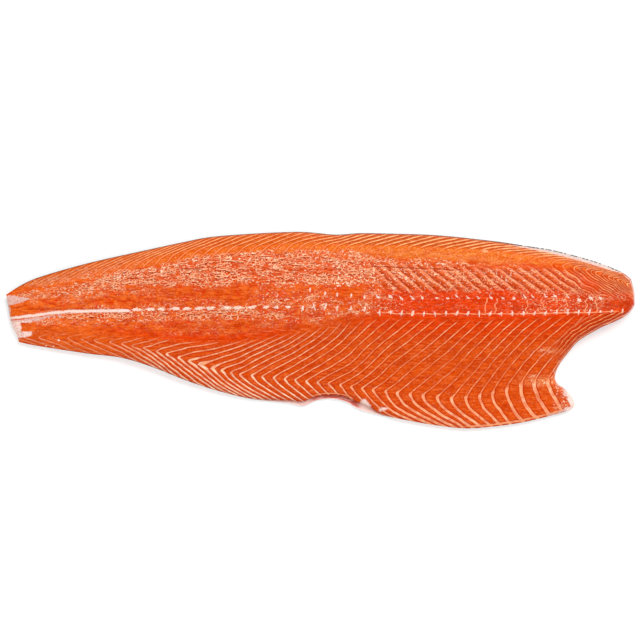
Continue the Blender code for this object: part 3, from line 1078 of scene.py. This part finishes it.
def build_torn_group():
    masks = ["Web", "Thread_shadows", "Streaks", "Shaded_gaps", "Glints"]
    group, given, made = new_group("Torn fibres", {"Place": (0.0, 0.0, 0.0), "Amount": 0.0}, masks)

    def moved(shift):
        """The place, moved across the fish."""
        return vector(group, "ADD", given["Place"], (0, shift, 0))

    def cloud(place, grain, along, detail, twist):
        """Noise combed along the fish."""
        return noise(group, vector(group, "MULTIPLY", place, (1 / along, 1, 1)), grain, detail, twist)

    def web(place):
        """1 on the walls of bent cells, and on a few winding threads between them."""
        inputs = {"Vector": place, "Scale": 1 / WEB_BEND, "Detail": 1.0}
        bend = add_node(group, "ShaderNodeTexNoise", inputs)
        bent = vector(group, "MULTIPLY_ADD", bend.outputs["Color"], (5.0, 3.6, 0.0), place)
        bent = vector(group, "MULTIPLY", bent, (1 / (1.35 * WEB_CELL), 1 / WEB_CELL, 1 / WEB_CELL))
        foam = add_node(
            group, "ShaderNodeTexVoronoi", {"Vector": bent, "Scale": 1.0}, feature="DISTANCE_TO_EDGE",
            voronoi_dimensions="2D",
        ).outputs["Distance"]
        winding = calc(group, "ABSOLUTE", calc(group, "SUBTRACT", cloud(place, 3.0, 1.5, 1.0, 1.2), 0.5))
        return calc(group, "MAXIMUM", ramp(group, foam, 0.125, 0.045), ramp(group, winding, 0.040, 0.015))

    amount = given["Amount"]
    place = given["Place"]
    clumps = cloud(place, 7.0, 2.0, 2.0, 0.6)
    thick = ramp(group, calc(group, "MULTIPLY_ADD", amount, 0.17, clumps), 0.53, 0.72, 0.12, 1.0)
    rough = ramp(group, amount, 0.45, 0.90)
    streaks = calc(group, "MULTIPLY", ramp(group, cloud(place, 1.5, 8.0, 1.0, 0.4), 0.60, 0.65), rough)
    # Painted shade: the streaks moved across by a millimetre darken the gaps under them.
    gap_shade_mask = calc(group, "MULTIPLY", ramp(group, cloud(moved(1.0), 1.5, 8.0, 1.0, 0.4), 0.585, 0.64), rough)
    # Painted highlights: small pale glints of wet light.
    glints = ramp(group, cloud(place, 1.4, 1.6, 1.0, 0.3), 0.62, 0.67)
    threads = calc(group, "MULTIPLY", web(place), thick)
    # Painted shadow: the web moved down gives a dark line under each thread.
    shadows_under_threads = calc(group, "MULTIPLY", web(moved(WEB_SHADE)), thick)
    for name, mask in zip(masks, [threads, shadows_under_threads, streaks, gap_shade_mask, glints]):
        group.links.new(calc(group, "MULTIPLY", mask, ramp(group, amount, 0.0, 0.5)), made[name])
    return group


torn_group = build_torn_group()
print("group", torn_group.name, "has", len(torn_group.nodes), "nodes")

# %% [markdown]
# ## Flesh
# One material paints the whole fillet. It grows over the next cells, and each cell lays its colours
# over those before: the ground of each zone, the grain, the ridges and the torn web, the seams, and
# last the cut at the collar and the white tissue.

# %% Start the flesh's material, with what its cells share
flesh_finish, tree, shader = new_material("raw_salmon_flesh")
place = millimetres(tree)
grain = use_group(tree, grain_group, Place=place, Fibre=1.0)
frayed = calc(tree, "MULTIPLY_ADD", noise(tree, place, 1.6, 2.0), 0.8, -0.4)


def field(name):
    """A number that the flesh carries at each of its points, as a socket of its material."""
    return stored(tree, name)


print("material", flesh_finish.name, "started")

# %% The ground of each zone
BELLY_ORANGE = (0.70, 0.078, 0.003, 1)
LOIN_ORANGE = (0.75, 0.152, 0.013, 1)
BAND_ORANGE = (0.73, 0.195, 0.024, 1)
TAIL_ORANGE = (0.92, 0.165, 0.012, 1)
STRIPE_DARK = (0.42, 0.052, 0.001, 1)
DARK_RED = (0.38, 0.026, 0.0, 1)
DEEP_RED = (0.74, 0.036, 0.0, 1)
TORN_RED = (0.72, 0.072, 0.002, 1)
# Pale haze at the belly's tip, and painted light along the rim of the head's cut.
HAZE_PALE = (0.93, 0.27, 0.06, 1)
# Each zone's mask, how much of the colour it lets through, and the colour.
GROUND = [
    ("stripes", 0.35, STRIPE_DARK), ("calm", 0.90, BAND_ORANGE), ("channel", 1.0, DEEP_RED),
    ("below_spine", 0.80, DEEP_RED), ("shaded_crease", 0.80, DEEP_RED), ("collar", 0.80, DEEP_RED),
    ("torn", 0.90, TORN_RED), ("head_channel", 0.42, DARK_RED), ("haze_and_rim_light", 0.70, HAZE_PALE),
    ("tail", 0.50, TAIL_ORANGE),
]

colour = blend(tree, field("above_bend"), BELLY_ORANGE, LOIN_ORANGE)
for name, share, over in GROUND:
    colour = paint(tree, colour, over, field(name), share)
mottle = noise(tree, millimetres(tree, (1.5, 1.0, 1.0)), 5.0, 2.0, 0.8)
colour = paint(tree, colour, TAIL_ORANGE, ramp(tree, mottle, 0.50, 0.60), field("mottled"), 0.50)
colour = paint(tree, colour, DEEP_RED, ramp(tree, mottle, 0.48, 0.38), field("mottled"), 0.75)
print(len(GROUND) + 2, "zones painted")

# %% [markdown]
# Close up, the muscle is never one flat colour. Darker and lighter fibres run along the fish, soft
# blotches lie between them, and beads of moisture get specks of painted highlight and painted shade.

# %% Fibres, blotches and beads
BELLY_DARK = (0.50, 0.028, 0.0, 1)
BELLY_LIGHT = (0.88, 0.17, 0.035, 1)
LOIN_DARK = (0.60, 0.060, 0.001, 1)
DEEP_LIGHT = (0.92, 0.11, 0.008, 1)
TORN_PALE = (1.0, 0.45, 0.24, 1)

dark = blend(tree, field("above_bend"), BELLY_DARK, LOIN_DARK)
dark = paint(tree, dark, STRIPE_DARK, field("stripes"), 0.9)
dark = paint(tree, dark, DARK_RED, field("nose"), 0.9)
light = blend(tree, field("deep"), BELLY_LIGHT, DEEP_LIGHT)
blotch = noise(tree, millimetres(tree, (2.0, 1.0, 1.0)), 6.0, 3.0, 0.5)
colour = blend(tree, ramp(tree, grain["Fibres"], 0.52, 0.36, 0.0, 0.55), colour, dark)
colour = blend(tree, ramp(tree, blotch, 0.54, 0.36, 0.0, 0.45), colour, dark)
colour = blend(tree, ramp(tree, grain["Fibres"], 0.54, 0.68, 0.0, 0.55), colour, light)
# Moisture beads: pale specks of painted highlight on their tops, dark specks of painted shade between.
bead_sheen_and_shade = calc(tree, "MULTIPLY_ADD", field("above_bend"), 0.22, 0.14)
bead_sheen_and_shade = calc(tree, "MULTIPLY_ADD", field("deep"), -0.06, bead_sheen_and_shade)
colour = paint(tree, colour, TORN_PALE, ramp(tree, grain["Beads"], 0.54, 0.66), bead_sheen_and_shade)
colour = paint(tree, colour, LOIN_DARK, ramp(tree, grain["Beads"], 0.46, 0.36), bead_sheen_and_shade)
print("grain painted,", len(tree.nodes), "nodes so far")

# %% [markdown]
# Each ridge has a matted pink side, a pale edge and a gap behind it, darkened as painted shade. The
# torn web lies over the band and, thinner, over the ridges: the painted shadows under its threads
# come first, then the threads, the painted shade in the gaps, the streaks and the painted glints.

# %% Ridges and the torn web
RIDGE_PINK = (0.96, 0.28, 0.14, 1)
# The colour of the painted shade in the web's gaps.
GAP_SHADE = (0.33, 0.022, 0.0, 1)
# The colour of the painted glints.
GLINT = (1.0, 0.80, 0.60, 1)
# Where else the web shows, and how much.
ALSO_TORN = [("tip_grain", 0.50), ("haze_and_rim_light", 0.70), ("channel", 0.12), ("ridges", 0.15)]

loin = use_group(
    tree, seam_group, Number=field("loin_number"), Slope=field("loin_slope"), Width=field("loin_width"),
    Ragged=frayed,
)
across = loin["Across"]
pink_side = product(tree, ramp(tree, across, 0.10, 0.30), ramp(tree, across, 0.56, 0.48), field("ridges"))
shaded_gap_side = product(tree, ramp(tree, across, 0.52, 0.60), ramp(tree, across, 1.0, 0.74), field("ridges"))
# Painted shade in the gap behind each ridge.
colour = paint(tree, colour, DARK_RED, shaded_gap_side, 0.85)
colour = paint(tree, colour, RIDGE_PINK, pink_side, 0.48)

amount = calc(tree, "MULTIPLY_ADD", pink_side, 0.85, field("torn"))
for name, share in ALSO_TORN:
    amount = calc(tree, "MULTIPLY_ADD", field(name), share, amount)
apart = add_node(tree, "ShaderNodeSeparateXYZ", {0: place}).outputs
combed_place = add_node(tree, "ShaderNodeCombineXYZ", {0: apart[0], 1: field("combed"), 2: apart[2]})
web = use_group(
    tree, torn_group, Place=combed_place.outputs[0], Amount=calc(tree, "MINIMUM", amount, 1.1)
)
# Painted shadows under the threads.
colour = paint(tree, colour, DARK_RED, web["Thread_shadows"], 0.90)
colour = paint(tree, colour, TORN_PALE, web["Web"], 0.90)
off_ridges = calc(tree, "MULTIPLY_ADD", field("ridges"), -0.85, 0.90)
# Painted shade in the gaps under the streaks.
colour = paint(tree, colour, GAP_SHADE, web["Shaded_gaps"], off_ridges)
colour = paint(tree, colour, TORN_PALE, web["Streaks"], off_ridges, 0.9)
# Painted highlights: the glints, strongest along their row.
glint_strength = calc(tree, "MULTIPLY_ADD", field("glint_row"), 0.4, 0.60)
colour = paint(tree, colour, GLINT, web["Glints"], glint_strength)
print("ridges and web painted,", len(tree.nodes), "nodes so far")

# %% [markdown]
# The seams come over all that: their painted shade first, then the pale line. The belly's are pink
# below their kink and whiter towards the tail, the stripes by the back and at the nose are yellower,
# and the nose has a second set half-way between. Scores and threads follow the same order, dark and
# then pale.

# %% Seams, scores and threads
SEAM_PALE = (0.97, 0.31, 0.12, 1)
STRIPE_PALE = (1.0, 0.44, 0.19, 1)
SEAM_PINK = (0.97, 0.37, 0.18, 1)
SEAM_WHITE = (0.98, 0.72, 0.50, 1)

belly = use_group(
    tree, seam_group, Number=field("belly_number"), Slope=field("belly_slope"), Width=field("belly_width"),
    Ragged=frayed,
)
finer_number = calc(tree, "ADD", field("loin_number"), 0.5)
finer = use_group(
    tree, seam_group, Number=finer_number, Slope=field("loin_slope"), Width=0.6, Ragged=frayed
)
strength = ramp(tree, noise(tree, place, 6.0, 2.0), 0.32, 0.62, 0.5, 1.0)
whiter = ramp(tree, noise(tree, place, 5.0, 1.0), 0.45, 0.70, 0.0, 0.35)
whiter = calc(tree, "MULTIPLY_ADD", field("white_seams"), 0.5, whiter)
belly_pale = blend(tree, field("lower_arm"), SEAM_PALE, SEAM_PINK)
belly_pale = blend(tree, whiter, belly_pale, SEAM_WHITE)
loin_pale = blend(tree, calc(tree, "MAXIMUM", field("stripes"), field("nose")), SEAM_PALE, STRIPE_PALE)
loin_share = calc(tree, "MULTIPLY_ADD", field("ridges"), 0.5, field("loin_line"))
loin_shade = calc(tree, "MULTIPLY_ADD", field("stripes"), 0.35, 0.60)

# Painted shade beside the seams, where the muscle dips.
colour = paint(tree, colour, BELLY_DARK, belly["Shade"], field("belly_line"), 0.65)
colour = paint(tree, colour, dark, loin["Shade"], field("loin_line"), loin_shade)
colour = paint(tree, colour, belly_pale, belly["Line"], field("belly_line"), strength)
colour = paint(tree, colour, loin_pale, loin["Line"], loin_share, strength)
colour = paint(tree, colour, DARK_RED, finer["Shade"], field("nose"), 0.75)
colour = paint(tree, colour, STRIPE_PALE, finer["Line"], field("nose"), strength, 0.6)
colour = paint(tree, colour, DARK_RED, ramp(tree, field("scores"), 0.35, 0.7), 0.7)
colour = paint(tree, colour, SEAM_PINK, ramp(tree, field("threads"), 0.35, 0.7), strength)
print("seams painted,", len(tree.nodes), "nodes so far")

# %% [markdown]
# The collar's cut shows the seams edge on, as fine lines that follow the rim. The rim along the back
# is dark, where the skin starts. White tissue covers all the rest where it lies.

# %% The collar's cut, the rim and the white tissue
LAYER = 3.3              # mm between the seams that show edge on in the collar's cut
SHEET_PINK = (0.74, 0.42, 0.36, 1)
FAT_WHITE = (0.95, 0.68, 0.60, 1)

layers = calc(tree, "DIVIDE", field("rim"), LAYER)
layers = calc(tree, "MULTIPLY_ADD", noise(tree, place, 9.0, 1.0), 0.9, layers)
edge_on = use_group(tree, seam_group, Number=layers, Slope=1 / LAYER, Width=0.8, Ragged=frayed)
# Painted shade beside the seams that show edge on in the cut.
colour = paint(tree, colour, DARK_RED, edge_on["Shade"], field("collar"), 0.85)
colour = paint(tree, colour, SEAM_PALE, edge_on["Line"], field("collar"), strength)
colour = paint(tree, colour, STRIPE_DARK, ramp(tree, field("rim"), 1.5, 0.5), field("stripes"), 0.7)
whiteness = calc(tree, "SUBTRACT", grain["Beads"], 0.5)
whiteness = calc(tree, "MULTIPLY_ADD", whiteness, 1.2, field("fat"))
colour = blend(tree, ramp(tree, whiteness, 0.32, 0.55), colour, SHEET_PINK)
colour = blend(tree, ramp(tree, whiteness, 0.62, 0.95), colour, FAT_WHITE)
print("white tissue painted,", len(tree.nodes), "nodes so far")

# %% [markdown]
# Raw salmon is strongly coloured and a little see-through, so some light goes under the surface, and
# the moisture is a thin clear coat. The web stands up in the bump, and its gaps lie deeper.

# %% Moisture and depth, and the flesh is done
height = calc(tree, "MULTIPLY_ADD", web["Web"], 0.35, grain["Height"])
height = calc(tree, "MULTIPLY_ADD", web["Shaded_gaps"], -0.35, height)
finish(tree, shader, colour, height, 0.5, 0.4, {
    "Roughness": ramp(tree, grain["Beads"], 0.3, 0.7, 0.22, 0.36),
    "Specular IOR Level": 0.02,
    "Subsurface Weight": 0.03,
    "Subsurface Radius": (1.0, 0.3, 0.12),
    "Subsurface Scale": 0.0015,
    "Coat Weight": 0.05,
    "Coat Roughness": 0.1,
})
flesh = new_piece("fillet_flesh", flesh_mesh, "flesh", flesh_finish)
print("flesh", [round(side * 1000, 1) for side in flesh.dimensions], "mm")

# %% [markdown]
# ## Skin
# The skin is a thin sheet under the flesh. It curls up along the back, and a sliver of it shows past
# the flesh at the trimmed belly and beside the head. From below, a salmon is dark and spotted
# along the back, silver on the flank and white at the belly, with small scales all over.

# %% Build the skin
SKIN_ALONG = 260
SKIN_ACROSS = 84
sx, sy = stretch_grid(skin_edges, grid_shares(SKIN_ALONG, 5, 0.01), grid_shares(SKIN_ACROSS, 6, 0.04))
skin_low = underside_height(sx.ravel(), sy.ravel(), skin_edges).reshape(sx.shape)
skin_rim = distance_to(sx.ravel(), sy.ravel(), list(skin_edges.values())).reshape(sx.shape)
skin_high = skin_low + SKIN_THICKNESS
skin_mesh, skin_kept = closed_slab(
    "fillet_skin", to_world(sx, sy, skin_high), to_world(sx, sy, skin_low), range(SKIN_ACROSS + 1)
)
flank = (back_edge(sx) - sy) / (back_edge(sx) - belly_edge(sx))
flap = np.maximum(1 - smoothstep(sx, -12, -6), smoothstep(sx, 34, 40))
beside_head = smoothstep(sx, 172, 200)
for name, values in {"flank": flank, "rim": skin_rim, "flap": flap, "beside_head": beside_head}.items():
    store(skin_mesh, name, values, skin_kept)

# %% The outer side of the skin, seen from below
BACK_BLUE = (0.048, 0.056, 0.058, 1)
FLANK_SILVER = (0.42, 0.44, 0.45, 1)
BELLY_WHITE = (0.74, 0.72, 0.69, 1)
SPOT_BLACK = (0.008, 0.009, 0.010, 1)
SCALE = (3.2, 2.4, 99)   # mm along, across and through one scale
SPOT = (15, 11, 99)      # the same for the patch of skin that one black spot stands in


def from_middle(tree, cell):
    """How far each place is from the middle of a random cell, in cells. Cells have this size in mm."""
    inputs = {"Vector": millimetres(tree, cell), "Scale": 1.0}
    return add_node(tree, "ShaderNodeTexVoronoi", inputs).outputs["Distance"]


def make_skin_material():
    material, tree, shader = new_material("salmon_skin")
    place = millimetres(tree)
    flank_share = stored(tree, "flank")
    colour = blend(tree, ramp(tree, flank_share, 0.10, 0.34), BACK_BLUE, FLANK_SILVER)
    colour = blend(tree, ramp(tree, flank_share, 0.55, 0.85), colour, BELLY_WHITE)
    scale_edge = ramp(tree, from_middle(tree, SCALE), 0.35, 0.75)
    colour = paint(tree, colour, BACK_BLUE, scale_edge, 0.30)
    ragged = calc(tree, "MULTIPLY_ADD", noise(tree, place, 1.8), 0.35, from_middle(tree, SPOT))
    in_spot = ramp(tree, ragged, 0.38, 0.30)
    colour = paint(tree, colour, SPOT_BLACK, in_spot, ramp(tree, flank_share, 0.42, 0.20))
    finish(tree, shader, colour, calc(tree, "SUBTRACT", 1.0, scale_edge), 0.6, 0.3, {
        "Roughness": ramp(tree, noise(tree, place, 2.5), 0.3, 0.7, 0.22, 0.4),
        "Metallic": 0.25,
        "Coat Weight": 0.3,
    })
    return material


outer_skin = make_skin_material()
print("material", outer_skin.name, "has", len(outer_skin.node_tree.nodes), "nodes")

# %% [markdown]
# The inner side of the skin shows only as a narrow rim. It is a pale trim along the belly, a pink
# membrane in the notch, brown along the back, and white fat beside the head. The back's edge is a
# dark broken line, where the skin itself shows.

# %% The inner side of the skin, seen at the rim
MEMBRANE_PINK = (0.56, 0.072, 0.038, 1)
MEMBRANE_PALE = (0.84, 0.56, 0.50, 1)
FAT_RIM = (1.0, 0.95, 0.90, 1)
BACK_BROWN = (0.34, 0.10, 0.03, 1)
BACK_DARK = (0.10, 0.045, 0.018, 1)
SKIN_EDGE = (0.02, 0.015, 0.02, 1)


def make_membrane_material():
    material, tree, shader = new_material("belly_membrane")
    grain = use_group(tree, grain_group, Place=millimetres(tree), Fibre=0.6)
    matted = ramp(tree, grain["Fibres"], 0.45, 0.7, 0.0, 0.45)
    outer = calc(tree, "MULTIPLY_ADD", grain["Beads"], 2.0, stored(tree, "rim"))
    colour = blend(tree, matted, MEMBRANE_PINK, MEMBRANE_PALE)
    colour = blend(tree, stored(tree, "flap"), colour, MEMBRANE_PALE)
    colour = blend(tree, ramp(tree, outer, 1.9, 1.2), colour, MEMBRANE_PALE)
    at_back = ramp(tree, stored(tree, "flank"), 0.10, 0.05)
    beside_head = stored(tree, "beside_head")
    colour = blend(tree, at_back, colour, blend(tree, beside_head, BACK_BROWN, FAT_RIM))
    dashes = noise(tree, millimetres(tree, (1.0, 9.0, 9.0)), 1.7, 0.0)
    dashes = ramp(tree, dashes, 0.38, 0.50, 0.15, 1.0)
    edge = ramp(tree, stored(tree, "rim"), 0.95, 0.65)
    edge_colour = blend(tree, beside_head, BACK_DARK, SKIN_EDGE)
    colour = paint(tree, colour, edge_colour, edge, at_back, dashes)
    finish(tree, shader, colour, grain["Height"], 0.4, 0.3, {"Roughness": 0.3, "Coat Weight": 0.2})
    return material


skin = new_piece("fillet_skin", skin_mesh, "skin", outer_skin, make_membrane_material())
slots = np.zeros(len(skin_mesh.polygons), np.int32)
slots[: SKIN_ALONG * SKIN_ACROSS] = 1     # the upper sheet's faces come first
skin_mesh.polygons.foreach_set("material_index", slots)
print("skin", [round(side * 1000, 1) for side in skin.dimensions], "mm")

# %% [markdown]
# ## Bone marks
# Where each pin bone and rib met the backbone, a small star of white cartilage is left in the
# flesh. They stand in two rows towards the head and run together into dashes towards the tail.
# Painted spots would do from far away, but the real ones stand up and catch the light. So each is a
# small closed lens with a ragged outline, laid on the flesh, and all of them are one mesh.

# %% Find the flesh's height at any place
surface_tree = kdtree.KDTree(x.size)
for index, (px, py) in enumerate(zip(x.ravel(), y.ravel())):
    surface_tree.insert((px, py, 0), index)
surface_tree.balance()
surface_z = flesh_top.ravel()


def height_at(px, py):
    """Height of the flesh at a place: a blend of the four nearest points of its grid."""
    found = surface_tree.find_n((px, py, 0), 4)
    weights = [1 / (distance + 0.05) for _, _, distance in found]
    return sum(w * surface_z[index] for w, (_, index, _) in zip(weights, found)) / sum(weights)


print("height of the flesh at x = 100, y = 16:", round(height_at(100, 16), 1), "mm")

# %% One mark, and one star of two marks
MARK_SIDES = 28
MARK_RINGS = (0.0, 0.45, 0.8, 1.0)
MARK_RISE = 0.45         # mm the middle of a mark stands above the flesh ...
MARK_SINK = 0.12         # ... and its outline lies below it
rng = np.random.default_rng(11)


def add_mark(bm, px, py, half_long, half_wide, turn, raggedness):
    """One closed lens with a ragged outline. Its sizes are in mm, and its points in world metres."""
    angles = np.linspace(0, 2 * math.pi, MARK_SIDES, endpoint=False)
    ragged = 1 + raggedness * rng.uniform(-1, 1, MARK_SIDES)
    rings = []
    for share in MARK_RINGS:
        ring = []
        for angle, reach in zip(angles, ragged):
            along = half_long * reach * share * math.cos(angle)
            up = half_wide * reach * share * math.sin(angle)
            qx = px + along * math.cos(turn) - up * math.sin(turn)
            qy = py + along * math.sin(turn) + up * math.cos(turn)
            lift = MARK_RISE * (1 - share**2) - MARK_SINK * share
            ring.append((qx, qy, height_at(qx, qy) + lift))
            if share == 0:
                break
        rings.append([bm.verts.new(to_world(*map(np.asarray, point)).tolist()) for point in ring])
    foot = bm.verts.new(to_world(px, py, height_at(px, py) - 0.5).tolist())
    for inner, outer in zip(rings, rings[1:]):
        for k in range(MARK_SIDES):
            after = (k + 1) % MARK_SIDES
            if len(inner) == 1:
                bm.faces.new((inner[0], outer[k], outer[after]))
            else:
                bm.faces.new((inner[k], outer[k], outer[after], inner[after]))
    for k in range(MARK_SIDES):
        bm.faces.new((foot, rings[-1][(k + 1) % MARK_SIDES], rings[-1][k]))


def add_star(bm, px, py, size):
    """A tall thin flame with a slim arm across it."""
    lean = math.pi / 2 + rng.uniform(-0.5, 0.2)
    flame_y = py + rng.uniform(-0.3, 1.0)
    half_long = rng.uniform(2.3, 3.7) * size
    add_mark(bm, px, flame_y, half_long, rng.uniform(0.8, 1.3), lean, 0.4)
    arm = rng.uniform(1.0, 3.0) * size
    arm_x = px - 0.5 * arm + rng.uniform(-0.3, 0.5)
    add_mark(bm, arm_x, py, arm, 0.65, rng.uniform(-0.25, 0.25), 0.35)


print("a mark has", (len(MARK_RINGS) - 1) * MARK_SIDES + 2, "corners")

# %% Lay the marks on the flesh
# (where it is along the fillet, half its length) of each dash towards the tail
SPINE_MARKS = [
    (-174.5, 5.0), (-162, 5.0), (-151.5, 4.2), (-138, 5.0), (-127, 4.6), (-115, 5.0), (-104.5, 4.2),
    (-89.5, 5.0), (-78, 5.0), (-65, 4.6), (-52, 3.0), (-42, 2.4), (-31, 3.0),
]
DASH_LINE = [(-180, 20.0), (-60, 22.3), (0, 22.6)]
EARLY_STARS = [(-17, 21.5), (-6, 22.5), (4.5, 22.0), (16, 21.8), (29, 20.0), (42, 19.5)]
FIRST_STAR = 56.0        # the first large star on the backbone's line ...
LAST_STAR = 287.0        # ... and the last
STARS = 23
EARLY_PINS = [(-10, 39.0), (4.3, 35.4), (15.8, 34.4), (29, 33.4), (41.6, 32.0)]
CRUMBS = [(-249.8, -9.1, 1.3, 1.1), (-262, -14.5, 1.2, 0.6), (-255, -14.8, 1.0, 0.6)]


def add_pin_mark(bm, px):
    """A mark in the upper row near this place, where a pin bone went in, and often a splinter by it."""
    size = (2.5 if px < 80 or px > 240 else 1.7) * rng.uniform(0.8, 1.2)
    height = MARKS_HEIGHT - 1.6 * (px > 240) + rng.uniform(-1.2, 1.2)
    middle = px + rng.uniform(-1.8, 1.8)
    add_mark(bm, middle, height, size, 0.6 * size, rng.uniform(-0.9, 0.3), 0.45)
    if rng.uniform() < 0.6:
        half_long = rng.uniform(1.2, 2.5)
        add_mark(bm, middle - 1.2, height + 1.5, half_long, 0.5, rng.uniform(-1.3, -0.3), 0.4)


def build_marks():
    bm = bmesh.new()
    for px, half in SPINE_MARKS:
        half_wide = 1.4 + 0.08 * half
        add_mark(bm, px, at_place(DASH_LINE, px), 1.08 * half, half_wide, rng.uniform(-0.06, 0.12), 0.4)
    for px, py in EARLY_STARS:
        add_star(bm, px, py, 1.05)
    for px in np.linspace(FIRST_STAR, LAST_STAR, STARS):
        py = at_place(BONE_LINE, px) + rng.uniform(-0.4, 0.4)
        add_star(bm, px, py, 1.0 - 0.3 * (px > 262))
        if px < 270:
            add_pin_mark(bm, px)
    for px, py in EARLY_PINS:
        add_mark(bm, px, py, 2.2, 1.1, math.pi / 2 + rng.uniform(-0.3, 0.3), 0.35)
    for px, py, half_long, half_wide in CRUMBS:
        add_mark(bm, px, py, half_long, half_wide, 0.1, 0.3)
    bmesh.ops.recalc_face_normals(bm, faces=list(bm.faces))
    mesh = bpy.data.meshes.new("bone_marks")
    bm.to_mesh(mesh)
    bm.free()
    mesh.shade_smooth()
    return mesh


marks_mesh = build_marks()
print("bone marks:", len(marks_mesh.polygons), "faces")

# %% The marks' material
CARTILAGE_PINK = (0.93, 0.50, 0.37, 1)
CARTILAGE_WHITE = (1.0, 0.76, 0.64, 1)


def make_mark_material():
    material, tree, shader = new_material("white_cartilage")
    grain = use_group(tree, grain_group, Place=millimetres(tree), Fibre=0.5)
    colour = blend(tree, ramp(tree, grain["Beads"], 0.35, 0.65), CARTILAGE_PINK, CARTILAGE_WHITE)
    finish(tree, shader, colour, grain["Height"], 0.3, 0.2, {
        "Roughness": 0.35,
        "Subsurface Weight": 0.15,
        "Subsurface Radius": (1.0, 0.5, 0.35),
        "Subsurface Scale": 0.001,
    })
    return material


marks = new_piece("bone_marks", marks_mesh, "flesh", make_mark_material())
print("marks", [round(side * 1000, 1) for side in marks.dimensions], "mm")
